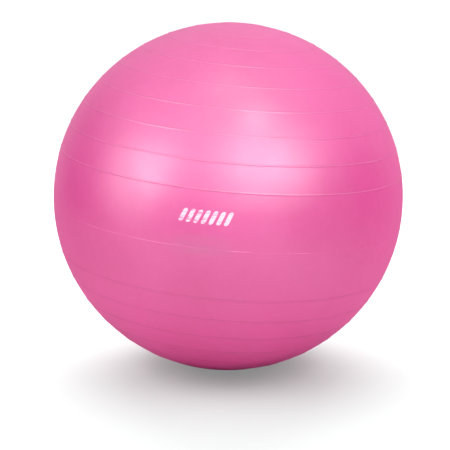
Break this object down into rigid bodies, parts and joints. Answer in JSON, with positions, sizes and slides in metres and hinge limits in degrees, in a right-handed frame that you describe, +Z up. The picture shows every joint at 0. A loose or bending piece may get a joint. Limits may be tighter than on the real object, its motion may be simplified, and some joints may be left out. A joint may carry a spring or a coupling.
{
  "type": "exercise ball",
  "caption": "Inflated soft vinyl exercise ball with raised ribs round it, a flat contact patch underneath and a push-in stopper in a moulded valve seat.",
  "frame": {"origin": "middle of the flat patch that the ball rests on, at floor level", "axes": "+Z up, -Y towards the side with the print, -X towards the side with the valve; the ribs' axis leans 4.8 degrees from +Z towards +X"},
  "size_m": [0.65, 0.6498, 0.6438],
  "materials": {
    "ball_vinyl": "satin, faintly pearly soft vinyl",
    "seat_vinyl": "satin moulded vinyl",
    "plug_plastic": "semi-matte moulded",
    "print_ink": "thin screen-printed ink, slightly worn"
  },
  "bodies": {
    "ball": {"ball_shell": "ball_vinyl", "valve_seat": "seat_vinyl"},
    "plug": {"valve_plug": "plug_plastic"}
  },
  "joints": [
    {"name": "plug_pull", "type": "slide", "parent": "ball", "child": "plug", "axis": [-0.972, 0.1731, 0.1587], "range_m": [0, 0.035]}
  ]
}
